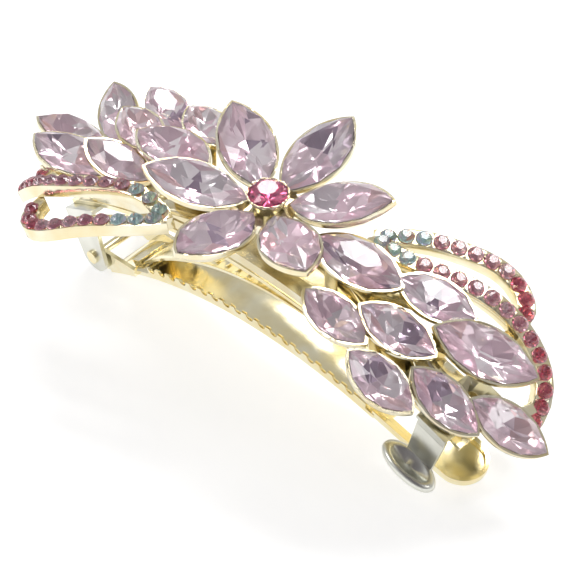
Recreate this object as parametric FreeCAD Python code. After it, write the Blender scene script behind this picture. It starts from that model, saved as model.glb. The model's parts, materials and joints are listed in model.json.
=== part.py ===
import FreeCAD, Part
import math
import os

# Rhinestone hair clip: an arched spring-steel barrette carrying a cast ornament set with glass stones.
# Millimetres. +X runs from the hinge to the clasp, +Y across the clip, +Z up. The origin is at the
# bottom centre of the clip's bounding box.

# ---- base plate and its arch ------------------------------------------------------------------
BASE_RADIUS = 105.0
BASE_THICK = 0.8
BASE_HALF_WIDTH = 4.5
BASE_HINGE_X = -45.5
BASE_CLASP_X = 43.0

# ---- hinge --------------------------------------------------------------------------------------
SHEET = 0.7
CHEEK_INNER_Y = 5.4
PIN_X = -40.0
PIN_Z = -19.0
PIN_RADIUS = 0.8
PIN_HEAD_RADIUS = 1.2
PIN_HEAD_THICK = 0.5
BRACKET_END_X = -37.6
LUG_RADIUS = 3.0
LUG_FROM_ANGLE = 200
LUG_TO_ANGLE = -10
EAR_BORE_RADIUS = 0.86
EAR_OUTER_Y = 5.0
EAR_END_X = -30.5
EAR_OUTLINE = [(PIN_X - 2.1, PIN_Z + 1.4), (PIN_X - 2.1, PIN_Z - 1.6), (PIN_X + 1.2, PIN_Z - 2.8),
               (EAR_END_X, PIN_Z + 0.4), (EAR_END_X, PIN_Z + 1.6), (PIN_X + 2.6, PIN_Z + 1.4)]

# ---- lever --------------------------------------------------------------------------------------
LEVER_RADIUS = 91.0
LEVER_CROWN_X = 2.0
LEVER_CROWN_Z = -12.0
LEVER_THICK = 0.8
LEVER_HALF_WIDTH = 4.3
LEVER_ROOT_X = -37.6
LEVER_NECK_X = 24.5
TOOTH_PITCH = 2.7
TOOTH_WALL = 0.5
TOOTH_HEIGHT = 1.1
TOOTH_ROOT = 0.2
TEETH_FROM_X = -27.5
NOTCH_FROM_X = -26.0
NOTCH_RADIUS = 0.85
ROOT_HOLE_X = -34.0
ROOT_HOLE_RADIUS = 1.15
TRAY_END_X = 38.9
TRAY_HALF_WIDTH = 4.2
TRAY_RIM = 0.7
TRAY_RIM_HEIGHT = 0.7
TRAY_FLOOR = 0.6
TRAY_OVERLAP = 0.4
TRAY_SLOT = (2.6, 8.6)
TRAY_SLOT_HALF_WIDTH = 2.4

# ---- tension leaf ---------------------------------------------------------------------------------
LEAF_HALF_WIDTH = 2.6
LEAF_THICK = 0.5
LEAF_START = (-30.6, -17.15)
LEAF_CREST = (3.0, -4.6)
LEAF_TIP = (26.5, -8.2)
LEAF_RIB_PITCH = 2.6
LEAF_RIB_RADIUS = 0.45
LEAF_RIB_SINK = 0.15
LEAF_RIB_EDGE = 0.6
LEAF_RIBS_FROM = 9.0
LEAF_RIBS_SHORT_OF_TIP = 3.0
ANCHOR_BEHIND_LEAF = 1.35
ANCHOR_HALF_LENGTH = 1.0
ANCHOR_OVERHANG = 0.4
ANCHOR_HEIGHT = 1.0

# ---- clasp ----------------------------------------------------------------------------------------
CLASP_X = 38.9
CLASP_WIDTH = 5.4
LEG_INNER_Y = 5.3
LEG_LENGTH = 10.0
LEG_GAP = 0.15
CLASP_RIM = 0.2
TAB_HALF_LENGTH = 4.3
TAB_HALF_WIDTH = 2.4
TAB_MIDDLE_X = -0.3
TAB_MIDDLE_Y = 7.6
TAB_TOP = -8.2
TAB_HEIGHT = 1.7
TAB_WALL = 0.5
TAB_HOLLOW = 0.8
CATCH_REACH = 0.55
CATCH_THICK = 0.5

# ---- rivets: where each stands along and across the base plate ------------------------------------
RIVET_SPOTS = {
    "bracket_rivets": [(-42.0, -2.2), (-42.0, 2.2)],
    "clasp_rivets": [(CLASP_X, -2.2), (CLASP_X, 2.2)],
    "ornament_rivets": [(-24.0, 0.0), (22.0, 0.0)],
}
RIVET_SHANK = 0.7
RIVET_HEAD = 1.25
RIVET_HEAD_FLAT = 0.875
RIVET_HEAD_THICK = 0.4

# ---- ornament: an arched surface of its own, leaning towards the clasp end ------------------------
ORNAMENT_RADIUS = 80.0
ORNAMENT_LEAN = 6.25
ORNAMENT_SHIFT_X = 1.5
ORNAMENT_RISE = 8.7
SPINE_HEIGHT = 1.9
SPINE_HALF_WIDTH = 4.3
SPINE_FROM_X = -38.5
SPINE_TO_X = 33.0
SPINE_WALL = 1.3
SPINE_WINDOWS = [(-36.5, -27.0), (25.0, 31.5)]
WEB_HALF_WIDTH = 1.6
WEB_FROM_X = -20.0
WEB_TO_X = 30.0
STEM_POINTS = [(-39.6, -7.0), (-28.0, -2.4), (-13.0, 2.6)]
STEM_THICK = 1.7
STEM_WIDTH = 1.4
STEM_INSET = 0.2
POCKET_RADIUS = 2.0
POCKET_HEIGHT = 12.0
PLATE_TOP = 0.4
PLATE_THICK = 1.2
CUP_WALL = 0.3
CUP_TIP = 0.5
CUP_LIP = -0.1
CUP_WALL_DEPTH = 0.9
CUP_DEPTH = 2.9
CUP_KEEL_SHARE = 0.62
GIRDLE = 0.2

# A spray of eight leaf stones: along the arch, across it, level, heading, pitch, length, width.
RIGHT_LEAVES = [
    (16.6, 1.6, 3.3, 14.0, 0.0, 14.4, 8.0),
    (20.6, -7.2, 2.6, 3.0, 0.0, 11.6, 6.6),
    (27.8, -1.9, 3.3, 15.0, 0.0, 12.6, 6.8),
    (27.6, 6.6, 3.0, 22.0, 0.0, 12.4, 6.8),
    (37.8, 6.4, 3.6, 27.0, 0.0, 16.4, 8.2),
    (31.8, -9.2, 2.8, 5.0, 0.0, 12.0, 6.8),
    (39.4, -3.6, 3.2, 6.0, 0.0, 12.6, 6.6),
    (47.6, 2.2, 3.0, 20.0, 0.0, 13.2, 6.6),
]
# The other spray has leaves of the same sizes, turned half round, with their tips bent up off the arch.
LEFT_LEAVES = [
    (18.5, 1.6, 4.9, 7.0, 7.0, 14.4, 8.0),
    (20.9, -7.0, 2.8, -13.0, 9.0, 11.6, 6.6),
    (29.2, -0.4, 3.9, -17.0, 14.0, 12.6, 6.8),
    (27.1, 6.5, 2.5, 9.0, 27.0, 12.4, 6.8),
    (37.9, 8.0, 2.5, 5.0, 23.0, 16.4, 8.2),
    (32.2, -8.1, 2.6, -16.0, 22.0, 12.0, 6.8),
    (39.5, -3.4, 3.3, -43.0, 32.0, 12.6, 6.6),
    (47.1, 1.5, 2.7, 20.0, 34.0, 13.2, 6.6),
]
# Where each leaf's stalk leaves the middle of the spray.
STALK_ROOTS = [8.0, 13.0, 18.0, 18.0, 26.0, 22.0, 30.0, 36.0]
STALK_HALF_WIDTH = 0.9
POST_RADIUS = 1.2
POST_BELOW_LEAF = 1.0
STALK_STEP = 0.015
STALK_SPACING = 4.0
STEM_FROM = (0.5, 0.0)
STEM_TO = (44.0, 0.0)
# Struts from the leaves out to the strands.
RAIL_STRUTS = [((36.0, 7.0), (38.5, 15.0)), ((27.0, 6.5), (25.0, 11.6)), ((47.0, 3.0), (48.0, 9.0))]
LEAF_CROWN = 1.9
LEAF_PAVILION = 2.5
LEAF_FACETS = 16

# ---- cut of every stone: shares of the outline at the table and at the pavilion's break -----------
TABLE_SHARE = 0.5
BREAK_SHARE = 0.55
BREAK_DEPTH_SHARE = 0.7

# ---- flower ---------------------------------------------------------------------------------------
PETAL_COUNT = 6
PETAL_LENGTH = 15.8
PETAL_WIDTH = 8.6
PETAL_CROWN = 2.0
PETAL_PAVILION = 2.6
PETAL_CENTRE_RADIUS = 10.9
PETAL_FIRST_HEADING = 33.0
PETAL_TILT = 14.0
PETAL_LEVEL = 4.9
HUB_RADIUS = 4.6
HUB_TOP = 2.2
CENTRE_CUP_RADIUS = 3.4
CENTRE_CUP_TAPER = 1.1
CENTRE_STONE_WIDTH = 6.2
CENTRE_STONE_CROWN = 1.3
CENTRE_STONE_PAVILION = 1.8
CENTRE_STONE_FACETS = 12
CENTRE_LEVEL = 4.6
PRONG_COUNT = 10
PRONG_RADIUS = 0.32
PRONG_HEIGHT = 1.4
PRONG_OUT = 0.1
PRONG_FOOT = 1.0

# ---- strands of small stones ----------------------------------------------------------------------
CHATON_WIDTH = 2.4
CHATON_PITCH = 2.7
CHATON_CROWN = 0.75
CHATON_PAVILION = 1.3
CHATON_FACETS = 8
RAIL_HALF_WIDTH = 1.45
RAIL_DEPTH = 2.0
RAIL_SECTIONS_PER_POINT = 3
# Each path runs along the arch, across it, and above or below its surface.
OUTER_PATH = [(13.0, 9.5, -1.5), (16.7, 13.5, -1.0), (24.0, 18.4, -0.9), (32.1, 21.4, -1.8),
              (36.4, 19.5, -1.6), (36.5, 16.0, -0.6)]
INNER_PATH = [(12.9, 10.0, -1.6), (19.8, 9.2, 0.8), (30.0, 13.4, 1.8), (40.5, 15.1, 0.8),
              (45.3, 14.4, -0.8), (50.2, 6.0, -1.0)]
OUTER_COLOURS = ["aurora"] * 3 + ["rose"] * 5 + ["ruby"] * 3
INNER_COLOURS = ["aurora"] * 3 + ["rose"] * 7 + ["ruby"] * 6
FIRST_STONE = 2.0

# Lengths for cutting tools that pass right through a thin wall, or clear across the whole clip.
THROUGH = 6.0
CLEAR = 60.0
Y_AXIS = FreeCAD.Vector(0, 1, 0)
Z_AXIS = FreeCAD.Vector(0, 0, 1)
shapes = {}


def vec(x, y, z):
    return FreeCAD.Vector(x, y, z)


def turn(axis, degrees):
    return FreeCAD.Placement(vec(0, 0, 0), FreeCAD.Rotation(axis, degrees))


def shifted(x, y, z):
    return FreeCAD.Placement(vec(x, y, z), FreeCAD.Rotation())


def placed(shape, placement):
    copy = shape.copy()
    copy.Placement = placement.multiply(copy.Placement)
    return copy


def box(x_low, x_high, y_low, y_high, z_low, z_high):
    return Part.makeBox(x_high - x_low, y_high - y_low, z_high - z_low, vec(x_low, y_low, z_low))


def across(points, half_width):
    """A closed outline in the XZ plane made into a solid that spans -half_width to +half_width in Y."""
    wire = Part.makePolygon([vec(x, -half_width, z) for x, z in points + points[:1]])
    return Part.Face(wire).extrude(vec(0, 2 * half_width, 0))


def rod_across(x, z, radius, y_low, y_high):
    return Part.makeCylinder(radius, y_high - y_low, vec(x, y_low, z), Y_AXIS)


def circle_z(x, radius, crown_x, crown_z):
    """Height of a downward-curving circular arch at x."""
    return crown_z - radius + math.sqrt(radius * radius - (x - crown_x) ** 2)


def arch_strip(radius, crown_x, crown_z, x_low, x_high, thick, half_width):
    """A strip of even thickness under a circular arch, cut square to the arch at both ends."""
    centre_z = crown_z - radius
    corners = []
    for x_end in (x_low, (x_low + x_high) / 2, x_high):
        angle = math.asin((x_end - crown_x) / radius)
        for r in (radius, radius - thick):
            corners.append(vec(crown_x + r * math.sin(angle), -half_width, centre_z + r * math.cos(angle)))
    top_low, under_low, top_mid, under_mid, top_high, under_high = corners
    edges = [
        Part.Arc(top_low, top_mid, top_high).toShape(),
        Part.makeLine(top_high, under_high),
        Part.Arc(under_high, under_mid, under_low).toShape(),
        Part.makeLine(under_low, top_low),
    ]
    return Part.Face(Part.Wire(edges)).extrude(vec(0, 2 * half_width, 0))


def base_normal(x):
    """Placement with its origin on top of the base plate at x and its Z along the plate's normal."""
    tilt = math.degrees(math.asin(x / BASE_RADIUS))
    return shifted(x, 0, circle_z(x, BASE_RADIUS, 0, 0)).multiply(turn(Y_AXIS, tilt))


def on_lever(x):
    """Placement on top of the lever at x."""
    tilt = math.degrees(math.asin((x - LEVER_CROWN_X) / LEVER_RADIUS))
    height = circle_z(x, LEVER_RADIUS, LEVER_CROWN_X, LEVER_CROWN_Z)
    return shifted(x, 0, height).multiply(turn(Y_AXIS, tilt))


def on_ornament(u, v, w, heading=0.0, side=1):
    """Placement on the ornament's arched surface: u along it, v across, w above it."""
    tilt = u / ORNAMENT_RADIUS
    radius = ORNAMENT_RADIUS + w
    spot = shifted(radius * math.sin(tilt), v, radius * math.cos(tilt) - ORNAMENT_RADIUS)
    lean = shifted(ORNAMENT_SHIFT_X, 0, ORNAMENT_RISE).multiply(turn(Y_AXIS, ORNAMENT_LEAN))
    half_turn = turn(Z_AXIS, 0 if side > 0 else 180)
    chain = lean.multiply(half_turn).multiply(spot)
    return chain.multiply(turn(Y_AXIS, math.degrees(tilt))).multiply(turn(Z_AXIS, heading))


def rivet(length, shank_radius, head_radius, head_flat, head_thick):
    """A rivet along Z: shank from -length to 0, with a chamfered head above and below."""
    shank = Part.makeCylinder(shank_radius, length, vec(0, 0, -length))
    top = Part.makeCone(head_radius, head_flat, head_thick, vec(0, 0, 0))
    foot = Part.makeCone(head_radius, head_flat, head_thick, vec(0, 0, -length), vec(0, 0, -1))
    return shank.fuse([top, foot]).removeSplitter()


# ---- stones ---------------------------------------------------------------------------------------
def outline(length, width, count):
    """Points of a pointed oval, or of a circle where length equals width."""
    arc_radius = (length * length + width * width) / (4 * width)
    points = []
    for index in range(count):
        angle = 2 * math.pi * index / count
        x = length / 2 * math.cos(angle)
        y = math.sqrt(max(arc_radius ** 2 - x * x, 0.0)) - (arc_radius - width / 2)
        points.append((x, math.copysign(max(y, 0.0), math.sin(angle))))
    return points


def faceted_stone(length, width, crown, pavilion, count):
    """A cut stone with its girdle about z = 0: a table, one crown row, a girdle and two pavilion rows."""
    flat = outline(length, width, count)
    rows = [(TABLE_SHARE, crown), (1.0, GIRDLE), (1.0, -GIRDLE),
            (BREAK_SHARE, -pavilion * BREAK_DEPTH_SHARE)]
    rings = [[vec(scale * x, scale * y, z) for x, y in flat] for scale, z in rows]
    culet = vec(0, 0, -pavilion)
    faces = [Part.Face(Part.makePolygon(rings[0] + rings[0][:1]))]
    for upper, lower in zip(rings, rings[1:]):
        for here in range(count):
            after = (here + 1) % count
            corner = [upper[here], upper[after], lower[after], lower[here], upper[here]]
            faces.append(Part.Face(Part.makePolygon(corner)))
    for here in range(count):
        after = (here + 1) % count
        corner = [rings[-1][here], rings[-1][after], culet, rings[-1][here]]
        faces.append(Part.Face(Part.makePolygon(corner)))
    return Part.Solid(Part.makeShell(faces))


def pointed_oval(length, width, z):
    """A flat outline of two arcs that meet in points."""
    tips = (vec(-length / 2, 0, z), vec(length / 2, 0, z))
    near = Part.Arc(tips[0], vec(0, -width / 2, z), tips[1]).toShape()
    far = Part.Arc(tips[1], vec(0, width / 2, z), tips[0]).toShape()
    return Part.Wire([near, far])


def leaf_cup(length, width):
    """The boat-shaped block a leaf or petal stone is let into: a short upright wall over a tapering keel."""
    rim_length = length + 2 * CUP_TIP
    rim_width = width + 2 * CUP_WALL
    rim = pointed_oval(rim_length, rim_width, -CUP_WALL_DEPTH)
    wall = Part.Face(rim).extrude(vec(0, 0, CUP_LIP + CUP_WALL_DEPTH))
    foot = pointed_oval(rim_length * CUP_KEEL_SHARE, rim_width * CUP_KEEL_SHARE, -CUP_DEPTH)
    return wall.fuse(Part.makeLoft([rim, foot], True, True))


# ---- hardware -------------------------------------------------------------------------------------
def build_base_plate():
    plate = arch_strip(BASE_RADIUS, 0, 0, BASE_HINGE_X, BASE_CLASP_X, BASE_THICK, BASE_HALF_WIDTH)
    return plate.cut(rivet_holes())


def rivet_holes():
    holes = []
    for spots in RIVET_SPOTS.values():
        for x, y in spots:
            hole = Part.makeCylinder(RIVET_SHANK, 2 * THROUGH, vec(0, y, -THROUGH))
            holes.append(placed(hole, base_normal(x)))
    return Part.makeCompound(holes)


def build_rivets(name, grip_top, grip_bottom):
    """Rivets that grip from grip_top above the base plate's top to grip_bottom below it."""
    solids = []
    for x, y in RIVET_SPOTS[name]:
        one = rivet(grip_top + grip_bottom, RIVET_SHANK, RIVET_HEAD, RIVET_HEAD_FLAT, RIVET_HEAD_THICK)
        solids.append(placed(placed(one, shifted(0, y, grip_top)), base_normal(x)))
    return Part.makeCompound(solids)


def cheek_outline():
    """One bracket cheek as an XZ face: tapered, with a round lug about the pin."""
    left_top = (BASE_HINGE_X, circle_z(BASE_HINGE_X, BASE_RADIUS, 0, 0) - BASE_THICK)
    right_top = (BRACKET_END_X, circle_z(BRACKET_END_X, BASE_RADIUS, 0, 0) - BASE_THICK)
    angle_left = math.radians(LUG_FROM_ANGLE)
    angle_right = math.radians(LUG_TO_ANGLE)
    left_low = (PIN_X + LUG_RADIUS * math.cos(angle_left), PIN_Z + LUG_RADIUS * math.sin(angle_left))
    right_low = (PIN_X + LUG_RADIUS * math.cos(angle_right), PIN_Z + LUG_RADIUS * math.sin(angle_right))
    bottom = (PIN_X, PIN_Z - LUG_RADIUS)
    flat = [vec(x, 0, z) for x, z in (left_top, left_low, bottom, right_low, right_top)]
    edges = [
        Part.makeLine(flat[0], flat[1]),
        Part.Arc(flat[1], flat[2], flat[3]).toShape(),
        Part.makeLine(flat[3], flat[4]),
        Part.makeLine(flat[4], flat[0]),
    ]
    return Part.Face(Part.Wire(edges))


def build_hinge_bracket():
    outer = CHEEK_INNER_Y + SHEET
    web = arch_strip(BASE_RADIUS - BASE_THICK, 0, -BASE_THICK, BASE_HINGE_X, BRACKET_END_X,
                     SHEET, outer)
    bracket = web
    for y in (-outer, CHEEK_INNER_Y):
        cheek = placed(cheek_outline().extrude(vec(0, SHEET, 0)), shifted(0, y, 0))
        bracket = bracket.fuse(cheek)
    bracket = bracket.cut(rod_across(PIN_X, PIN_Z, PIN_RADIUS, -outer - 1, outer + 1))
    return bracket.cut(rivet_holes()).removeSplitter()


def build_hinge_pin():
    outer = CHEEK_INNER_Y + SHEET
    pin = rod_across(PIN_X, PIN_Z, PIN_RADIUS, -outer, outer)
    near = rod_across(PIN_X, PIN_Z, PIN_HEAD_RADIUS, -outer - PIN_HEAD_THICK, -outer)
    far = rod_across(PIN_X, PIN_Z, PIN_HEAD_RADIUS, outer, outer + PIN_HEAD_THICK)
    return pin.fuse([near, far])


def lever_teeth():
    """Two upturned edges along the lever, bitten by a row of round notches."""
    inner = LEVER_HALF_WIDTH - TOOTH_WALL
    strip = arch_strip(LEVER_RADIUS + TOOTH_HEIGHT, LEVER_CROWN_X, LEVER_CROWN_Z + TOOTH_HEIGHT,
                       TEETH_FROM_X, LEVER_NECK_X - 1, TOOTH_HEIGHT + TOOTH_ROOT, LEVER_HALF_WIDTH)
    strip = strip.cut(box(-CLEAR, CLEAR, -inner, inner, -CLEAR, CLEAR))
    notches = []
    notch_x = NOTCH_FROM_X
    while notch_x < LEVER_NECK_X - 2:
        rod = rod_across(0, TOOTH_HEIGHT, NOTCH_RADIUS, -LEVER_HALF_WIDTH - 1, LEVER_HALF_WIDTH + 1)
        notches.append(placed(rod, on_lever(notch_x)))
        notch_x += TOOTH_PITCH
    return strip.cut(Part.makeCompound(notches))


def lever_ear(y_low):
    """An upturned ear that carries the lever on the pin."""
    return placed(across(EAR_OUTLINE, SHEET / 2), shifted(0, y_low + SHEET / 2, 0))


def build_tray():
    """The lever's spoon-shaped end, with a raised rim and a slot through its floor."""
    length = TRAY_END_X - LEVER_NECK_X
    depth = TRAY_FLOOR + TRAY_RIM_HEIGHT

    def spoon(inset, z_low, z_high):
        half = TRAY_HALF_WIDTH - inset
        straight = box(inset, length, -half, half, z_low, z_high)
        return straight.fuse(Part.makeCylinder(half, z_high - z_low, vec(length, 0, z_low)))

    tray = spoon(0, -TRAY_FLOOR, TRAY_RIM_HEIGHT)
    tray = tray.cut(spoon(TRAY_RIM, 0, depth))
    slot = box(TRAY_SLOT[0], TRAY_SLOT[1], -TRAY_SLOT_HALF_WIDTH, TRAY_SLOT_HALF_WIDTH, -depth, depth)
    return placed(tray.cut(slot), on_lever(LEVER_NECK_X))


def build_lever():
    lever = arch_strip(LEVER_RADIUS, LEVER_CROWN_X, LEVER_CROWN_Z, LEVER_ROOT_X,
                       LEVER_NECK_X + TRAY_OVERLAP, LEVER_THICK, LEVER_HALF_WIDTH)
    root = arch_strip(LEVER_RADIUS, LEVER_CROWN_X, LEVER_CROWN_Z, LEVER_ROOT_X, EAR_END_X,
                      LEVER_THICK, EAR_OUTER_Y)
    hole = Part.makeCylinder(ROOT_HOLE_RADIUS, 2 * THROUGH, vec(0, 0, -THROUGH))
    lever = lever.fuse([root, lever_teeth(), lever_ear(-EAR_OUTER_Y), lever_ear(EAR_OUTER_Y - SHEET)])
    lever = lever.cut(rod_across(PIN_X, PIN_Z, EAR_BORE_RADIUS, -CLEAR, CLEAR))
    lever = lever.cut(placed(hole, on_lever(ROOT_HOLE_X)))
    return lever.fuse(build_tray()).removeSplitter()


def build_tension_leaf():
    """The bowed leaf spring, an arc through three points, with a row of stiffening ribs across it."""
    points = [vec(x, 0, z) for x, z in (LEAF_START, LEAF_CREST, LEAF_TIP)]
    circle = Part.Arc(*points).toShape().Curve
    crown_x = circle.Center.x
    crown_z = circle.Center.z + circle.Radius
    leaf = arch_strip(circle.Radius, crown_x, crown_z, LEAF_START[0], LEAF_TIP[0],
                      LEAF_THICK, LEAF_HALF_WIDTH)
    ribs = []
    rib_x = LEAF_START[0] + LEAF_RIBS_FROM
    rib_half = LEAF_HALF_WIDTH - LEAF_RIB_EDGE
    while rib_x < LEAF_TIP[0] - LEAF_RIBS_SHORT_OF_TIP:
        height = circle_z(rib_x, circle.Radius, crown_x, crown_z) - LEAF_RIB_SINK
        ribs.append(rod_across(rib_x, height, LEAF_RIB_RADIUS, -rib_half, rib_half))
        rib_x += LEAF_RIB_PITCH
    return leaf.fuse(ribs)


def build_leaf_anchor():
    """A low staple on the lever that holds the root of the tension leaf."""
    half = LEAF_HALF_WIDTH + ANCHOR_OVERHANG
    block = box(-ANCHOR_HALF_LENGTH, ANCHOR_HALF_LENGTH, -half, half, 0, ANCHOR_HEIGHT)
    return placed(block, on_lever(LEAF_START[0] - ANCHOR_BEHIND_LEAF))


def clasp_frame():
    """Placement at the clasp: X along the base plate, Z along its normal, origin on its top face."""
    return base_normal(CLASP_X)


def build_clasp_bridge():
    """A saddle over the end of the base plate, from one leg of the clasp to the other."""
    outer = LEG_INNER_Y + SHEET
    half = CLASP_WIDTH / 2
    drop = BASE_THICK
    saddle = arch_strip(BASE_RADIUS + SHEET, 0, SHEET, CLASP_X - half, CLASP_X + half, SHEET, outer)
    sides = []
    for y in (-outer, LEG_INNER_Y):
        side = box(-half, half, y, y + SHEET, -drop, CLASP_RIM)
        sides.append(placed(side, clasp_frame()))
    bridge = saddle.fuse(sides)
    inside = arch_strip(BASE_RADIUS, 0, 0, BASE_HINGE_X, BASE_CLASP_X + 3, 3.0, BASE_HALF_WIDTH)
    return bridge.cut(inside).cut(rivet_holes()).removeSplitter()


def oval_disc(half_length, half_width, z_low, z_high):
    edge = Part.Ellipse(vec(TAB_MIDDLE_X, TAB_MIDDLE_Y, z_low), half_length, half_width).toShape()
    return Part.Face(Part.Wire([edge])).extrude(vec(0, 0, z_high - z_low))


def clasp_tab(side):
    """One sprung leg of the clasp, with a dished oval finger tab outside and a catch lip inside."""
    half = CLASP_WIDTH / 2
    top = -BASE_THICK - LEG_GAP
    leg = box(-half, half, LEG_INNER_Y, LEG_INNER_Y + SHEET, -LEG_LENGTH, top)
    lip = box(-half, half, LEG_INNER_Y - CATCH_REACH, LEG_INNER_Y, -LEG_LENGTH, CATCH_THICK - LEG_LENGTH)
    dish = oval_disc(TAB_HALF_LENGTH, TAB_HALF_WIDTH, TAB_TOP - TAB_HEIGHT, TAB_TOP)
    hollow = oval_disc(TAB_HALF_LENGTH - TAB_WALL, TAB_HALF_WIDTH - TAB_WALL, TAB_TOP - TAB_HOLLOW, TAB_TOP)
    body = placed(leg.fuse([lip, dish.cut(hollow)]).removeSplitter(), clasp_frame())
    if side < 0:
        body = body.mirror(vec(0, 0, 0), Y_AXIS)
    return body


# ---- ornament -------------------------------------------------------------------------------------
def build_spine():
    """The cast beam that lies on the base plate and carries the ornament on a central web."""
    beam = arch_strip(BASE_RADIUS + SPINE_HEIGHT, 0, SPINE_HEIGHT, SPINE_FROM_X, SPINE_TO_X,
                      SPINE_HEIGHT, SPINE_HALF_WIDTH)
    window = SPINE_HALF_WIDTH - SPINE_WALL
    for x_low, x_high in SPINE_WINDOWS:
        beam = beam.cut(box(x_low, x_high, -window, window, -CLEAR, CLEAR))
    lean = shifted(ORNAMENT_SHIFT_X, 0, ORNAMENT_RISE).multiply(turn(Y_AXIS, ORNAMENT_LEAN))
    under = ORNAMENT_RADIUS + PLATE_TOP - PLATE_THICK
    disc = Part.makeCylinder(under, 2 * WEB_HALF_WIDTH, vec(0, -WEB_HALF_WIDTH, -ORNAMENT_RADIUS), Y_AXIS)
    disc = placed(disc, lean)
    web = box(WEB_FROM_X, WEB_TO_X, -WEB_HALF_WIDTH, WEB_HALF_WIDTH, -CLEAR, CLEAR).common(disc)
    base_fill = rod_across(0, -BASE_RADIUS, BASE_RADIUS, -CLEAR, CLEAR)
    spine = beam.fuse([web.cut(base_fill), side_stem().cut(base_fill)])
    return spine.cut(ornament_rivet_pockets()).cut(rivet_holes()).removeSplitter()


def side_stem():
    """A slim cast stem that springs from the hinge end of the base plate and runs under the flower."""
    top = Part.Arc(*[vec(x, 0, z) for x, z in STEM_POINTS]).toShape()
    low = Part.Arc(*[vec(x, 0, z - STEM_THICK) for x, z in reversed(STEM_POINTS)]).toShape()
    ends = [Part.makeLine(vec(STEM_POINTS[-1][0], 0, STEM_POINTS[-1][1]),
                          vec(STEM_POINTS[-1][0], 0, STEM_POINTS[-1][1] - STEM_THICK)),
            Part.makeLine(vec(STEM_POINTS[0][0], 0, STEM_POINTS[0][1] - STEM_THICK),
                          vec(STEM_POINTS[0][0], 0, STEM_POINTS[0][1]))]
    bar = Part.Face(Part.Wire([top, ends[0], low, ends[1]])).extrude(vec(0, STEM_WIDTH, 0))
    return placed(bar, shifted(0, STEM_INSET - SPINE_HALF_WIDTH, 0))


def ornament_rivet_pockets():
    """Room through the web above each rivet that holds the spine, so that its head can be set."""
    pockets = []
    for x, y in RIVET_SPOTS["ornament_rivets"]:
        pocket = Part.makeCylinder(POCKET_RADIUS, POCKET_HEIGHT, vec(0, y, SPINE_HEIGHT))
        pockets.append(placed(pocket, base_normal(x)))
    return Part.makeCompound(pockets)


def ribbon(row, half_width, w_top, w_bottom, side):
    """A bar that follows a row of (u, v, w, heading in radians) about the ornament's surface."""
    sections = []
    for u, v, w, heading in row:
        spot = on_ornament(u, v, w, math.degrees(heading), side)
        corners = [(half_width, w_top), (-half_width, w_top),
                   (-half_width, w_bottom), (half_width, w_bottom)]
        ring = [spot.multVec(vec(0, y, z)) for y, z in corners]
        sections.append(Part.makePolygon(ring + ring[:1]))
    return Part.makeLoft(sections, True, True)


def path_curve(path):
    curve = Part.BSplineCurve()
    curve.interpolate([vec(u, v, w) for u, v, w in path])
    return curve


def rail(path, side):
    """A channel that follows a path about the ornament's surface."""
    curve = path_curve(path)
    count = RAIL_SECTIONS_PER_POINT * len(path) + 1
    row = []
    for index in range(count):
        at = curve.FirstParameter + (curve.LastParameter - curve.FirstParameter) * index / (count - 1)
        spot = curve.value(at)
        along = curve.tangent(at)[0]
        row.append((spot.x, spot.y, spot.z, math.atan2(along.y, along.x)))
    return ribbon(row, RAIL_HALF_WIDTH, 0, -RAIL_DEPTH, side)


def chatons(path, colours, side):
    """Small round stones in a row along a path: a list of (colour, solid)."""
    curve = path_curve(path)
    stones = []
    for index, colour in enumerate(colours):
        at = curve.parameterAtDistance(FIRST_STONE + index * CHATON_PITCH, curve.FirstParameter)
        spot = curve.value(at)
        stone = faceted_stone(CHATON_WIDTH, CHATON_WIDTH, CHATON_CROWN, CHATON_PAVILION, CHATON_FACETS)
        stones.append((colour, placed(stone, on_ornament(spot.x, spot.y, spot.z, 0, side))))
    return stones


def stalk(start, end, order, side):
    """A cast stalk between two surface points, a hair thinner with each one, so no two faces coincide."""
    du, dv = end[0] - start[0], end[1] - start[1]
    heading = math.atan2(dv, du)
    steps = max(2, int(abs(du) / STALK_SPACING))
    row = [(start[0] + du * k / steps, start[1] + dv * k / steps, 0.0, heading) for k in range(steps + 1)]
    thinner = STALK_STEP * order
    return ribbon(row, STALK_HALF_WIDTH, PLATE_TOP - thinner, PLATE_TOP - PLATE_THICK + thinner, side)


def build_spray(leaves, side):
    """One half's casting: a stem, a stalk to each leaf and the leaf cups; and its leaf stones."""
    stones = {}
    cups = []
    routes = [(STEM_FROM, STEM_TO)]
    for index, (u, v, level, heading, pitch, length, width) in enumerate(leaves):
        stone = faceted_stone(length, width, LEAF_CROWN, LEAF_PAVILION, LEAF_FACETS)
        spot = on_ornament(u, v, level, heading, side).multiply(turn(Y_AXIS, -pitch))
        stones["leaf_%d" % (index + 1)] = placed(stone, spot)
        cups.append(placed(leaf_cup(length, width), spot))
        post = Part.makeCylinder(POST_RADIUS, level - POST_BELOW_LEAF)
        cups.append(placed(post, on_ornament(u, v, 0, 0, side)))
        routes.append(((STALK_ROOTS[index], 0.0), (u, v)))
    routes.extend(RAIL_STRUTS)
    stalks = [stalk(start, end, order, side) for order, (start, end) in enumerate(routes)]
    casting = stalks[0].fuse(stalks[1:] + cups)
    return casting.cut(list(stones.values())), stones


def petal_placement(index):
    heading = PETAL_FIRST_HEADING + 360.0 / PETAL_COUNT * index
    spot = on_ornament(0, 0, PETAL_LEVEL, heading).multiply(shifted(PETAL_CENTRE_RADIUS, 0, 0))
    return spot.multiply(turn(Y_AXIS, -PETAL_TILT))


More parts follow.
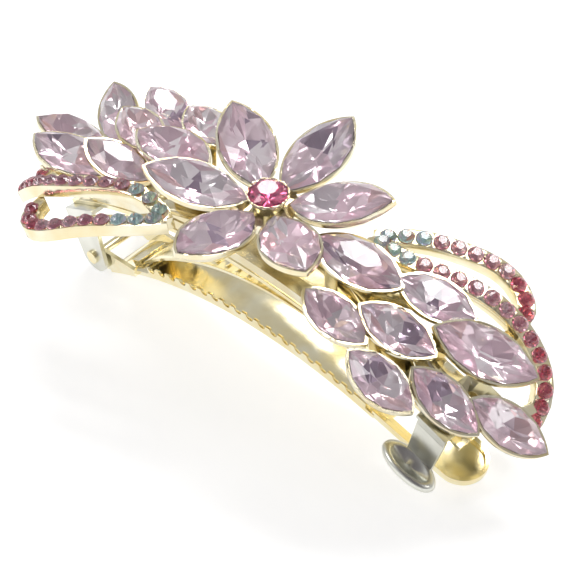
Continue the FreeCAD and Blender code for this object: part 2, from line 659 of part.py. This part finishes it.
def build_flower():
    """The flower's casting, a hub with six petal cups, and its petal stones."""
    stones = {}
    cups = []
    for index in range(PETAL_COUNT):
        spot = petal_placement(index)
        stone = faceted_stone(PETAL_LENGTH, PETAL_WIDTH, PETAL_CROWN, PETAL_PAVILION, LEAF_FACETS)
        stones["petal_%d" % (index + 1)] = placed(stone, spot)
        cups.append(placed(leaf_cup(PETAL_LENGTH, PETAL_WIDTH), spot))
    hub = Part.makeCylinder(HUB_RADIUS, HUB_TOP - PLATE_TOP, vec(0, 0, PLATE_TOP))
    frame = placed(hub, on_ornament(0, 0, 0)).fuse(cups)
    return frame.cut(list(stones.values())), stones


def build_centre():
    """The pronged cup of the round stone, standing on the flower's hub, and its stone."""
    stone = faceted_stone(CENTRE_STONE_WIDTH, CENTRE_STONE_WIDTH, CENTRE_STONE_CROWN,
                          CENTRE_STONE_PAVILION, CENTRE_STONE_FACETS)
    stone = placed(stone, on_ornament(0, 0, CENTRE_LEVEL))
    cup = Part.makeCone(CENTRE_CUP_RADIUS - CENTRE_CUP_TAPER, CENTRE_CUP_RADIUS, CENTRE_LEVEL - HUB_TOP,
                        vec(0, 0, HUB_TOP))
    prongs = []
    reach = CENTRE_STONE_WIDTH / 2 + PRONG_OUT
    for index in range(PRONG_COUNT):
        angle = 2 * math.pi * index / PRONG_COUNT
        spot = vec(reach * math.cos(angle), reach * math.sin(angle), CENTRE_LEVEL - PRONG_FOOT)
        prongs.append(Part.makeCylinder(PRONG_RADIUS, PRONG_HEIGHT, spot))
    return placed(cup.fuse(prongs), on_ornament(0, 0, 0)).cut(stone), stone


# ---- assembly -------------------------------------------------------------------------------------
shapes["base_plate"] = build_base_plate()
shapes["hinge_bracket"] = build_hinge_bracket()
shapes["bracket_rivets"] = build_rivets("bracket_rivets", 0.0, BASE_THICK + SHEET)
shapes["hinge_pin"] = build_hinge_pin()
shapes["lever"] = build_lever()
shapes["leaf_anchor"] = build_leaf_anchor()
shapes["tension_leaf"] = build_tension_leaf()
shapes["clasp_bridge"] = build_clasp_bridge()
shapes["clasp_rivets"] = build_rivets("clasp_rivets", SHEET, BASE_THICK)
shapes["clasp_tab_near"] = clasp_tab(-1)
shapes["clasp_tab_far"] = clasp_tab(1)
shapes["spine"] = build_spine()
shapes["ornament_rivets"] = build_rivets("ornament_rivets", SPINE_HEIGHT, BASE_THICK)
shapes["flower_frame"], petals = build_flower()
shapes["centre_cup"], shapes["centre_stone"] = build_centre()
shapes.update(petals)

petal_stones = Part.makeCompound(list(petals.values()) + [shapes["centre_stone"]])
shapes["centre_cup"] = shapes["centre_cup"].cut([shapes["flower_frame"]] + list(petals.values()))
for side_name, side, leaf_table in (("right", 1, RIGHT_LEAVES), ("left", -1, LEFT_LEAVES)):
    spray, leaves = build_spray(leaf_table, side)
    shapes["flower_frame"] = shapes["flower_frame"].cut(leaves["leaf_1"])
    rails = rail(OUTER_PATH, side).fuse(rail(INNER_PATH, side))
    rows = chatons(OUTER_PATH, OUTER_COLOURS, side) + chatons(INNER_PATH, INNER_COLOURS, side)
    spray = spray.cut(rails)
    for beneath in ("flower_frame", "spine", "base_plate", "clasp_bridge", "clasp_rivets"):
        spray = spray.cut(shapes[beneath])
    seats = Part.makeCompound([stone for _, stone in rows])
    shapes[side_name + "_spray"] = spray.cut(seats).cut(petal_stones)
    leaf_stones = Part.makeCompound(list(leaves.values()))
    shapes[side_name + "_strand_rails"] = rails.cut(seats).cut(leaf_stones).cut(shapes["flower_frame"])
    for name, stone in leaves.items():
        shapes[side_name + "_" + name] = stone
    for colour in ("aurora", "rose", "ruby"):
        group = [stone for stone_colour, stone in rows if stone_colour == colour]
        shapes["%s_%s_stones" % (side_name, colour)] = Part.makeCompound(group)

bounds = Part.makeCompound(list(shapes.values())).BoundBox
to_origin = shifted(-bounds.Center.x, -bounds.Center.y, -bounds.ZMin)
os.makedirs("parts", exist_ok=True)
for node, shape in shapes.items():
    final = placed(shape, to_origin)
    final.exportStep("parts/%s.step" % node)
    print(node, final.ShapeType, len(final.Solids), final.isValid(), round(final.Volume, 2))
print("offset", to_origin.Base, "size", bounds.XLength, bounds.YLength, bounds.ZLength)
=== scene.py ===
import json
import math

import bmesh
import bpy
import numpy as np
from mathutils import Matrix, Vector


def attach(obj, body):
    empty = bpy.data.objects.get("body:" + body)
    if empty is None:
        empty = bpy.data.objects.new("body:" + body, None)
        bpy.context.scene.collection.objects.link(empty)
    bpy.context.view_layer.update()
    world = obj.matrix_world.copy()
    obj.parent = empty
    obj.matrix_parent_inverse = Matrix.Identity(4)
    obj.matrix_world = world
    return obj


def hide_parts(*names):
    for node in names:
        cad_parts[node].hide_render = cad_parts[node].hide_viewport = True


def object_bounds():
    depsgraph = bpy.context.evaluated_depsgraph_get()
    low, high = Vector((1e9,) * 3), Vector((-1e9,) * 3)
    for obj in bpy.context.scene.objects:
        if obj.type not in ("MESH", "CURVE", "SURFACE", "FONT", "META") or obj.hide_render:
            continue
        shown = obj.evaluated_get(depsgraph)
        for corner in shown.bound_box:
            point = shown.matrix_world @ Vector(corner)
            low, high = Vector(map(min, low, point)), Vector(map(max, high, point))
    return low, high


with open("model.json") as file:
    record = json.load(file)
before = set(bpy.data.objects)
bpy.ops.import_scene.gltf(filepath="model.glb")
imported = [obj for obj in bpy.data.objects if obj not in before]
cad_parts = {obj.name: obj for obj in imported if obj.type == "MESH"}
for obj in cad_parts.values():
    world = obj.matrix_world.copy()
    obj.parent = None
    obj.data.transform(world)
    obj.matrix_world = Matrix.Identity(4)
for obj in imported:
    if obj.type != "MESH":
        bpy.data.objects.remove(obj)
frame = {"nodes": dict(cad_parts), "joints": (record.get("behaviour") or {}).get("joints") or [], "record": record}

cad_low, cad_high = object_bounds()
MM = 0.001
rng = np.random.default_rng(7)

# ---- camera and light -----------------------------------------------------------------------------
CAMERA_FROM_PIN = Vector((0.22114, -0.13964, 0.21942))
CAMERA_AZIMUTH = math.radians(51.83)
CAMERA_ELEVATION = math.radians(42.25)
CAMERA_ROLL = math.radians(8.18)
CAMERA_LENS = 125.0
SENSOR = 36.0
FLOOR_SIZE = 3.0
FLOOR_GAP = 0.05
FLOOR_GLOW = 0.68
LIGHT_AIM = Vector((0.0, 0.0, 0.02))
# Each light: place, size, power.
LIGHTS = {
    "strip_light": ((-0.12, 0.42, 0.72), (0.90, 0.17), 6.4),
    "near_light": ((-0.40, -0.55, 0.60), (0.20, 0.30), 1.2),
    "end_light": ((0.75, 0.10, 0.50), (0.16, 0.24), 0.5),
}
DARK_SIDE = (0.45, -0.30, 0.84)
ROOM_PALE = (0.52, 0.52, 0.53)
ROOM_DARK = (0.14, 0.13, 0.15)
ROOM_FADE = (0.55, 0.86)


def camera():
    """The rendering camera, placed from the lever's pin."""
    data = bpy.data.cameras.new("camera")
    data.lens = CAMERA_LENS
    data.sensor_width = SENSOR
    data.clip_start = 0.01
    data.clip_end = 10.0
    azimuth, elevation = CAMERA_AZIMUTH, CAMERA_ELEVATION
    back = Vector((math.sin(azimuth) * math.cos(elevation),
                   -math.cos(azimuth) * math.cos(elevation),
                   math.sin(elevation)))
    right = Vector((math.cos(azimuth), math.sin(azimuth), 0.0))
    up = back.cross(right)
    rolled_right = right * math.cos(CAMERA_ROLL) - up * math.sin(CAMERA_ROLL)
    rolled_up = right * math.sin(CAMERA_ROLL) + up * math.cos(CAMERA_ROLL)
    obj = bpy.data.objects.new("camera", data)
    turn = Matrix((rolled_right, rolled_up, back)).transposed().to_4x4()
    pin = next(Vector(j["pos_m"]) for j in frame["joints"] if j["name"] == "lever_swing")
    obj.matrix_world = Matrix.Translation(pin + CAMERA_FROM_PIN) @ turn
    bpy.context.scene.collection.objects.link(obj)
    bpy.context.scene.camera = obj


def area_light(name, place, size, power):
    data = bpy.data.lights.new(name, "AREA")
    data.shape = "RECTANGLE"
    data.size, data.size_y = size
    data.energy = power
    obj = bpy.data.objects.new(name, data)
    obj.location = place
    obj.rotation_euler = (LIGHT_AIM - Vector(place)).to_track_quat("-Z", "Y").to_euler()
    bpy.context.scene.collection.objects.link(obj)


def studio():
    """A long softbox over the far side, two small ones, and a pale room with one darker side."""
    for name, (place, size, power) in LIGHTS.items():
        area_light(name, place, size, power)
    world = bpy.data.worlds.new("studio")
    bpy.context.scene.world = world
    world.use_nodes = True
    nodes, links = world.node_tree.nodes, world.node_tree.links
    place = nodes.new("ShaderNodeTexCoord")
    toward = nodes.new("ShaderNodeVectorMath")
    toward.operation = "DOT_PRODUCT"
    toward.inputs[1].default_value = DARK_SIDE
    links.new(place.outputs["Generated"], toward.inputs[0])
    shade = nodes.new("ShaderNodeValToRGB")
    shade.color_ramp.elements[0].position = ROOM_FADE[0]
    shade.color_ramp.elements[0].color = (*ROOM_PALE, 1)
    shade.color_ramp.elements[1].position = ROOM_FADE[1]
    shade.color_ramp.elements[1].color = (*ROOM_DARK, 1)
    links.new(toward.outputs["Value"], shade.inputs[0])
    links.new(shade.outputs[0], nodes["Background"].inputs["Color"])
    bpy.context.scene.view_settings.view_transform = "Standard"


def floor():
    """A plain white floor just under the closed clip."""
    mesh = bpy.data.meshes.new("floor")
    half = FLOOR_SIZE / 2
    corners = [(-half, -half, 0), (half, -half, 0), (half, half, 0), (-half, half, 0)]
    mesh.from_pydata(corners, [], [(0, 1, 2, 3)])
    obj = bpy.data.objects.new("floor", mesh)
    obj.location.z = cad_low.z - FLOOR_GAP * MM
    bpy.context.scene.collection.objects.link(obj)
    material, shader = new_material("pale_floor")
    paper = noise(material, 900.0, 3)
    tint(material, shader, paper, [(0.4, (0.50, 0.50, 0.50)), (0.6, (0.53, 0.53, 0.53))])
    shader.inputs["Roughness"].default_value = 0.9
    shader.inputs["Emission Color"].default_value = (1, 1, 1, 1)
    shader.inputs["Emission Strength"].default_value = FLOOR_GLOW
    mesh.materials.append(material)


# ---- materials ------------------------------------------------------------------------------------
def new_material(name):
    material = bpy.data.materials.new(name)
    material.use_nodes = True
    return material, material.node_tree.nodes["Principled BSDF"]


def noise(material, scale, detail=2.0, stretch=None):
    """A noise texture in the object's own coordinates; its factor output."""
    nodes, links = material.node_tree.nodes, material.node_tree.links
    place = nodes.new("ShaderNodeTexCoord")
    texture = nodes.new("ShaderNodeTexNoise")
    texture.inputs["Scale"].default_value = scale
    texture.inputs["Detail"].default_value = detail
    source = place.outputs["Object"]
    if stretch:
        mapping = nodes.new("ShaderNodeMapping")
        mapping.inputs["Scale"].default_value = stretch
        links.new(source, mapping.inputs["Vector"])
        source = mapping.outputs["Vector"]
    links.new(source, texture.inputs["Vector"])
    return texture.outputs["Fac"]


def ramp(material, source, stops, interpolation="LINEAR"):
    """A colour ramp; stops are (position, colour)."""
    node = material.node_tree.nodes.new("ShaderNodeValToRGB")
    node.color_ramp.interpolation = interpolation
    elements = node.color_ramp.elements
    while len(elements) < len(stops):
        elements.new(0.5)
    for element, (position, colour) in zip(elements, stops):
        element.position = position
        element.color = (*colour, 1.0)
    material.node_tree.links.new(source, node.inputs[0])
    return node.outputs["Color"]


def tint(material, shader, source, stops, interpolation="LINEAR"):
    material.node_tree.links.new(ramp(material, source, stops, interpolation), shader.inputs["Base Color"])


def roughness(material, shader, source, low, high):
    """Lets the source move the roughness from low to high."""
    node = material.node_tree.nodes.new("ShaderNodeMapRange")
    node.inputs["To Min"].default_value = low
    node.inputs["To Max"].default_value = high
    material.node_tree.links.new(source, node.inputs["Value"])
    material.node_tree.links.new(node.outputs["Result"], shader.inputs["Roughness"])


def bump(material, shader, source, height_mm, strength):
    """Raises the surface by the source, without moving its points."""
    node = material.node_tree.nodes.new("ShaderNodeBump")
    node.inputs["Distance"].default_value = height_mm * MM
    node.inputs["Strength"].default_value = strength
    material.node_tree.links.new(source, node.inputs["Height"])
    material.node_tree.links.new(node.outputs["Normal"], shader.inputs["Normal"])


DRIFT_SCALE = 180.0
GLOSS_SCALE = 700.0
GRAIN_SCALE = 1400.0
GRAIN_STRENGTH = 0.6


def metal(name, pale, deep, rough, grain_mm, stretch=None):
    """A plated metal: its colour drifts slowly, its gloss varies and its surface has a fine grain."""
    material, shader = new_material(name)
    shader.inputs["Metallic"].default_value = 1.0
    tint(material, shader, noise(material, DRIFT_SCALE), [(0.35, deep), (0.65, pale)])
    roughness(material, shader, noise(material, GLOSS_SCALE, 3.0), *rough)
    bump(material, shader, noise(material, GRAIN_SCALE, 4.0, stretch), grain_mm, GRAIN_STRENGTH)
    return material


GLASS_IOR = 1.58


def facet_material(name, stops, glassy, tones, foil_metal=0.55):
    """Foil behind a stone, or the coloured glass in front of it; each facet takes a colour from the stops by a
    random value of its own, and the pink, centre, rose and ruby foils use this to paint light and dark reflections
    onto single facets.
    """
    material, shader = new_material(name)
    attribute = material.node_tree.nodes.new("ShaderNodeAttribute")
    attribute.attribute_name = "facet"
    tint(material, shader, attribute.outputs["Fac"], stops, tones)
    if glassy:
        shader.inputs["Transmission Weight"].default_value = 1.0
        shader.inputs["IOR"].default_value = GLASS_IOR
        roughness(material, shader, noise(material, 500.0), 0.0, 0.02)
    else:
        shader.inputs["Metallic"].default_value = foil_metal
        roughness(material, shader, noise(material, 900.0), 0.04, 0.14)
    return material


# Colour stops for the glass and the foil of each stone, against a random value per facet; the lighter and darker
# stops of the pink, centre, rose and ruby foils are painted highlights and painted dark reflections on single
# facets.
PINK_GLASS = [(0.0, (0.995, 0.965, 0.975)), (1.0, (1.0, 0.98, 0.985))]
# pink foil: the dark grey-violet stop is a painted reflection of the dark room, the near-white stop a painted
# highlight
PINK_FOIL_PAINTED_REFLECTIONS = [(0.0, (1.0, 0.84, 0.90)), (0.35, (0.99, 0.76, 0.84)), (0.58, (1.0, 0.95, 0.97)),
             (0.84, (0.50, 0.40, 0.50)), (0.92, (0.99, 0.74, 0.74))]
CENTRE_GLASS = [(0.0, (0.98, 0.62, 0.74)), (1.0, (0.99, 0.70, 0.80))]
# centre foil: its two stops paint lighter and darker reflections onto single facets
CENTRE_FOIL_PAINTED_REFLECTIONS = [(0.0, (0.96, 0.45, 0.60)), (0.6, (0.88, 0.28, 0.46))]
AURORA_GLASS = [(0.0, (0.98, 0.99, 1.0)), (1.0, (1.0, 1.0, 1.0))]
AURORA_FOIL = [(0.0, (0.72, 0.97, 1.0)), (0.3, (0.74, 1.0, 0.88)), (0.5, (0.84, 0.82, 1.0)),
               (0.66, (1.0, 1.0, 1.0)), (0.86, (1.0, 0.55, 0.45))]
ROSE_GLASS = [(0.0, (0.99, 0.84, 0.88)), (1.0, (0.99, 0.88, 0.91))]
# rose foil: the near-white stop paints highlights and the deeper stop darker reflections onto single facets
ROSE_FOIL_PAINTED_REFLECTIONS = [(0.0, (1.0, 0.72, 0.77)), (0.4, (1.0, 0.90, 0.92)), (0.65, (0.85, 0.48, 0.55))]
RUBY_GLASS = [(0.0, (0.98, 0.66, 0.73)), (1.0, (0.99, 0.72, 0.78))]
# ruby foil: the pale pink stop paints highlights onto single facets; the red stops are the ruby's own colour
RUBY_FOIL_PAINTED_HIGHLIGHTS = [(0.0, (0.98, 0.48, 0.56)), (0.45, (0.75, 0.25, 0.34)), (0.75, (1.0, 0.75, 0.80))]

GOLD = metal("champagne_gold", (0.86, 0.81, 0.64), (0.80, 0.69, 0.42), (0.10, 0.24), 0.012)
GILT = metal("gilt_steel", (0.92, 0.86, 0.64), (0.88, 0.76, 0.44), (0.10, 0.22), 0.006)
NICKEL = metal("nickel_steel", (0.78, 0.78, 0.71), (0.66, 0.66, 0.59), (0.24, 0.36), 0.005, (1, 6, 1))

STONES = {
    "pink_stone": (facet_material("pink_glass", PINK_GLASS, True, "LINEAR"),
                   facet_material("pink_foil_painted_reflections", PINK_FOIL_PAINTED_REFLECTIONS, False, "CONSTANT")),
    "centre_stone": (facet_material("centre_glass", CENTRE_GLASS, True, "LINEAR"),
                     facet_material("centre_foil_painted_reflections", CENTRE_FOIL_PAINTED_REFLECTIONS, False, "CONSTANT", 0.8)),
    "aurora_stone": (facet_material("aurora_glass", AURORA_GLASS, True, "LINEAR"),
                     facet_material("aurora_foil", AURORA_FOIL, False, "CONSTANT", 0.6)),
    "rose_stone": (facet_material("rose_glass", ROSE_GLASS, True, "LINEAR"),
                   facet_material("rose_foil_painted_reflections", ROSE_FOIL_PAINTED_REFLECTIONS, False, "CONSTANT", 0.75)),
    "ruby_stone": (facet_material("ruby_glass", RUBY_GLASS, True, "LINEAR"),
                   facet_material("ruby_foil_painted_highlights", RUBY_FOIL_PAINTED_HIGHLIGHTS, False, "CONSTANT", 0.75)),
}
STRAND_SLOTS = ("aurora_stone", "rose_stone", "ruby_stone")
STRAND_SWELL = 1.11
STRAND_LIFT = 0.12


# ---- stones ---------------------------------------------------------------------------------------
SAME_POINT = 1e-6
SAME_FACING = 0.9995
TABLE_BAND = 0.02
RIM_SHARE = 0.995


def solids_of(node):
    """The separate solids of a CAD node, each as a list of (normal, area, corner points)."""
    mesh = bmesh.new()
    mesh.from_mesh(frame["nodes"][node].data)
    bmesh.ops.remove_doubles(mesh, verts=mesh.verts, dist=SAME_POINT)
    waiting = set(mesh.faces)
    solids = []
    while waiting:
        found = [waiting.pop()]
        for face in found:
            for edge in face.edges:
                for other in edge.link_faces:
                    if other in waiting:
                        waiting.discard(other)
                        found.append(other)
        solids.append([(f.normal.copy(), f.calc_area(), [v.co.copy() for v in f.verts]) for f in found])
    mesh.free()
    return sorted(solids, key=order_key)


def order_key(faces):
    """Sorts solids along the clip, then across it."""
    centre = faces_centre(faces)
    return round(centre.x, 5), round(centre.y, 5)


def faces_centre(faces):
    """The mean of a solid's distinct corner points."""
    points = {tuple(round(c, 7) for c in p) for _, _, corners in faces for p in corners}
    return sum((Vector(p) for p in points), Vector()) / len(points)


def stone_seat(faces):
    """Where a cut stone sits: its placement, length, width, crown height and pavilion depth."""
    best, normal = 0.0, None
    for facing, _, _ in faces:
        total = sum(area for other, area, _ in faces if other.dot(facing) > SAME_FACING)
        if facing.z > 0 and total > best:
            best, normal = total, facing
    points = np.array(sorted({tuple(round(c, 7) for c in p) for _, _, corners in faces for p in corners}))
    up = np.array(normal)
    high = points @ up
    flat = points - np.outer(high, up)
    table = flat[high > high.max() - TABLE_BAND * MM].mean(axis=0)
    reach = np.linalg.norm(flat - table, axis=1)
    rim = reach > reach.max() * RIM_SHARE
    girdle = high[rim].mean()
    along = flat[rim][0] - table
    along /= np.linalg.norm(along)
    if along[0] < 0:
        along = -along
    across = np.cross(up, along)
    width = 2 * np.abs((flat - table) @ across).max()
    centre = table + up * girdle
    placement = Matrix(((along[0], across[0], up[0], centre[0]),
                        (along[1], across[1], up[1], centre[1]),
                        (along[2], across[2], up[2], centre[2]),
                        (0, 0, 0, 1)))
    return placement, 2 * reach.max(), width, high.max() - girdle, girdle - high.min()


def outline_point(length, width, angle):
    """A point of a pointed oval, or of a circle where length equals width."""
    arc = (length * length + width * width) / (4 * width)
    x = length / 2 * math.cos(angle)
    y = math.sqrt(max(arc * arc - x * x, 0.0)) - (arc - width / 2)
    return Vector((x, math.copysign(max(y, 0.0), math.sin(angle)), 0.0))


# Cut of a stone: shares of its outline, of its crown height and of its pavilion depth.
GIRDLE_SHARE = 0.06
TABLE_SHARE = 0.50
KITE_SHARE = 0.80
KITE_HEIGHT = 0.50
MAIN_SHARE = 0.52
MAIN_DEPTH = 0.62
KEEL_SHARE = 0.14
KEEL_DEPTH = 0.87
PINK_SIDES = 6
ROUND_SIDES = 8
ROUND_OFF = 1e-6


def cut_stone(length, width, crown, pavilion, sides):
    """A brilliant cut: (points, faces of the crown, faces of the pavilion)."""
    girdle = GIRDLE_SHARE * crown

    def ring(count, offset, scale, z):
        step = 2 * math.pi / count
        rise = Vector((0, 0, z))
        return [outline_point(length, width, step * (k + offset)) * scale + rise for k in range(count)]

    table = ring(sides, 0, TABLE_SHARE, crown)
    kites = ring(sides, 0.5, KITE_SHARE, crown * KITE_HEIGHT)
    upper = ring(2 * sides, 0, 1.0, girdle)
    lower = ring(2 * sides, 0, 1.0, -girdle)
    mains = ring(sides, 0.5, MAIN_SHARE, -pavilion * MAIN_DEPTH)
    keel = (length - width) * KEEL_SHARE
    ends = [Vector((keel, 0, -pavilion * KEEL_DEPTH)), Vector((-keel, 0, -pavilion * KEEL_DEPTH))]
    points = table + kites + upper + lower + mains + ends
    t, k, u, w, m, e = np.cumsum([0, sides, sides, 2 * sides, 2 * sides, sides])
    crown_faces = [[t + i for i in range(sides)]]
    back_faces = []
    for i in range(sides):
        after = (i + 1) % sides
        before = (i - 1) % sides
        first, mid, last = u + 2 * i, u + 2 * i + 1, u + (2 * i + 2) % (2 * sides)
        crown_faces.append([t + i, k + i, t + after])
        crown_faces.append([t + i, k + before, first, k + i])
        crown_faces.append([k + i, first, mid])
        crown_faces.append([k + i, mid, last])
        shift = w - u
        crown_faces.append([first, first + shift, mid + shift, mid])
        crown_faces.append([mid, mid + shift, last + shift, last])
        back_faces.append([m + i, mid + shift, first + shift])
        back_faces.append([m + i, last + shift, mid + shift])
        end = e + (0 if math.cos(2 * math.pi * i / sides) > -ROUND_OFF else 1)
        back_faces.append([first + shift, m + before, end, m + i])
        last_end = e + (0 if math.cos(2 * math.pi * after / sides) > -ROUND_OFF else 1)
        if end != last_end:
            back_faces.append([m + i, end, last_end])
    return points, crown_faces, back_faces


def stone_piece(node, slot, sides):
    """Replaces a CAD stone, or a row of them, with properly cut ones."""
    glass, foil = STONES[slot]
    points, faces, slots, tones = [], [], [], []
    for solid in solids_of(node):
        placement, length, width, crown, pavilion = stone_seat(solid)
        if slot in STRAND_SLOTS:
            length, width = length * STRAND_SWELL, width * STRAND_SWELL
            placement = placement @ Matrix.Translation((0, 0, STRAND_LIFT * MM))
        local, crown_faces, back_faces = cut_stone(length, width, crown, pavilion, sides)
        start = len(points)
        points.extend(placement @ p for p in local)
        for group, index in ((crown_faces, 0), (back_faces, 1)):
            for face in group:
                faces.append([start + i for i in face])
                slots.append(index)
                # random value per facet; the foil stops turn it into painted highlights and painted dark
                # reflections
                tones.append(rng.random())
    mesh = bpy.data.meshes.new(node + "_cut")
    mesh.from_pydata(points, [], faces)
    mesh.materials.append(glass)
    mesh.materials.append(foil)
    mesh.polygons.foreach_set("material_index", slots)
    tone = mesh.attributes.new("facet", "FLOAT", "FACE")
    tone.data.foreach_set("value", tones)
    turned = bmesh.new()
    turned.from_mesh(mesh)
    bmesh.ops.remove_doubles(turned, verts=turned.verts, dist=1e-7)
    bmesh.ops.recalc_face_normals(turned, faces=turned.faces)
    turned.to_mesh(mesh)
    turned.free()
    obj = bpy.data.objects.new(node + "_cut", mesh)
    bpy.context.scene.collection.objects.link(obj)
    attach(obj, "clip_base")
    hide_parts(node)


def all_stones(slot_of):
    """A cut stone for every stone node."""
    for node, slot in slot_of.items():
        if slot in STONES:
            stone_piece(node, slot, PINK_SIDES if slot == "pink_stone" else ROUND_SIDES)


# ---- metal ----------------------------------------------------------------------------------------
CAD_EDGE_ANGLE = 40
TAB_EDGE_ANGLE = 50
TAB_EDGE = 0.12
CAST_EDGE = 0.12
GILT_EDGE = 0.1
NICKEL_EDGE = 0.12


def round_edges(obj, width_mm, degrees):
    """Rounds each edge that turns by more than the angle."""
    bevel = obj.modifiers.new("rounded_edges", "BEVEL")
    bevel.width = width_mm * MM
    bevel.segments = 2
    bevel.limit_method = "ANGLE"
    bevel.angle_limit = math.radians(degrees)


def dress(slot_of):
    """Gives each metal CAD node its material and rounded edges."""
    looks = {"cast_gold": (GOLD, CAST_EDGE), "gilt_steel": (GILT, GILT_EDGE),
             "nickel_steel": (NICKEL, NICKEL_EDGE)}
    for node, slot in slot_of.items():
        if slot in looks:
            material, edge = looks[slot]
            obj = frame["nodes"][node]
            obj.data.materials.clear()
            obj.data.materials.append(material)
            weld = obj.modifiers.new("weld", "WELD")
            weld.merge_threshold = SAME_POINT
            round_edges(obj, edge, CAD_EDGE_ANGLE)


def add_piece(name, points, faces, material, node, body):
    """A new piece that stands for a CAD node."""
    mesh = bpy.data.meshes.new(name)
    mesh.from_pydata([tuple(p) for p in points], [], faces)
    mesh.materials.append(material)
    mesh.polygons.foreach_set("use_smooth", [True] * len(mesh.polygons))
    obj = bpy.data.objects.new(name, mesh)
    bpy.context.scene.collection.objects.link(obj)
    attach(obj, body)
    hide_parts(node)
    return obj


def rings_to_faces(rings, count):
    """Quads between rings of count points each, with one flat face over the first ring."""
    faces = []
    for ring in range(rings - 1):
        for k in range(count):
            after = (k + 1) % count
            faces.append((ring * count + k, ring * count + after,
                          (ring + 1) * count + after, (ring + 1) * count + k))
    faces.append(tuple(reversed(range(count))))
    return faces


TAB_POINTS = 56
TAB_ALONG = 3.75
TAB_OUT = 1.75
TAB_SHIFT = -0.3
TAB_MIDDLE = 1.9
TAB_LEVEL = -7.25
TAB_HOLLOW = 0.8
TAB_LIP = 0.55
TAB_SKIRT = 1.5
TAB_DISH_SHARES = (0.12, 0.35, 0.58, 0.78, 0.92)
TAB_LIP_STEPS = 8
TAB_END_DROP = 0.3
TAB_SHEET = 0.3
LEG_HALF_TOP = 2.65
LEG_HALF_LOW = 2.3
LEG_THICK = 0.5
LEG_DROP = 8.9


def clasp_tab(name, body, joint, outward):
    """A sprung leg with its finger tab: an oval dish with a rolled lip."""
    found = next(j for j in frame["joints"] if j["name"] == joint)
    hinge = Vector(found["pos_m"])
    along = Vector(found["axis"]).normalized()
    normal = Vector((-along.z, 0.0, along.x))
    side = Vector((0.0, outward, 0.0))

    def place(x, out, up):
        return hinge + (along * x + side * out + normal * up) * MM

    points = []
    rings = [(share, TAB_LEVEL - TAB_HOLLOW * (1 - share ** 2)) for share in TAB_DISH_SHARES]
    for step in range(TAB_LIP_STEPS + 1):
        angle = math.pi * step / TAB_LIP_STEPS
        reach = TAB_LIP * math.sin(angle)
        rings.append((1.0 + reach / TAB_OUT, TAB_LEVEL - TAB_SKIRT / 2 * (1 - math.cos(angle))))
    for share, level in rings:
        for k in range(TAB_POINTS):
            angle = 2 * math.pi * k / TAB_POINTS
            tip_drop = TAB_END_DROP * math.cos(angle) ** 2
            points.append(place(TAB_SHIFT + TAB_ALONG * share * math.cos(angle),
                                TAB_MIDDLE + TAB_OUT * share * math.sin(angle), level - tip_drop))
    faces = rings_to_faces(len(rings), TAB_POINTS)
    start = len(points)
    for end in (-1, 1):
        for out in (-LEG_THICK / 2, LEG_THICK / 2):
            for half, up in ((LEG_HALF_TOP, 0.0), (LEG_HALF_LOW, -LEG_DROP)):
                points.append(place(end * half, out, up))
    corners = [(0, 1, 3, 2), (4, 6, 7, 5), (0, 4, 5, 1), (2, 3, 7, 6), (0, 2, 6, 4), (1, 5, 7, 3)]
    faces.extend(tuple(start + c for c in corner) for corner in corners)
    obj = add_piece(name + "_formed", points, faces, NICKEL, name, body)
    thick = obj.modifiers.new("sheet", "SOLIDIFY")
    thick.thickness = TAB_SHEET * MM
    thick.offset = 0.0
    round_edges(obj, TAB_EDGE, TAB_EDGE_ANGLE)


CUP_COUNT = 60
# The cup's section: radius as a share of the stone's, and height in millimetres.
CUP_PROFILE = [(0.70, 0.0), (0.74, 0.25), (0.83, 0.9), (0.94, 1.5), (1.04, 2.0), (1.07, 2.3), (1.06, 2.5),
               (1.02, 2.56), (0.99, 2.45), (0.94, 2.1)]
CUP_PRONGS = 12
CUP_RIM = 2.45
CLAW_RISE = 0.28
CLAW_RINGS = 5
FLUTE_DEPTH = 0.10


def centre_cup():
    """The pronged cup under the round stone: a flared collar whose rim is cut into small claws."""
    stone, width, _, _, _ = stone_seat(solids_of("centre_stone")[0])
    points = []
    for ring, (share, height) in enumerate(CUP_PROFILE):
        for k in range(CUP_COUNT):
            angle = 2 * math.pi * k / CUP_COUNT
            claw = 0.5 + 0.5 * math.cos(angle * CUP_PRONGS)
            lift = CLAW_RISE * claw * max(0, ring - CLAW_RINGS + 1) / CLAW_RINGS
            flute = FLUTE_DEPTH * MM * (1 - claw) * (ring > 1)
            radius = share * width / 2 - flute
            points.append(stone @ Vector((radius * math.cos(angle), radius * math.sin(angle),
                                          (height - CUP_RIM + lift) * MM)))
    faces = rings_to_faces(len(CUP_PROFILE), CUP_COUNT)
    add_piece("centre_cup_claws", points, faces, GOLD, "centre_cup", "clip_base")


slot_of = {part["node"]: part["material_slot"] for part in frame["record"]["subparts"]}
camera()
studio()
floor()
all_stones(slot_of)
dress(slot_of)
clasp_tab("clasp_tab_near", "clasp_tab_near", "clasp_near_flex", -1)
clasp_tab("clasp_tab_far", "clasp_tab_far", "clasp_far_flex", 1)
centre_cup()
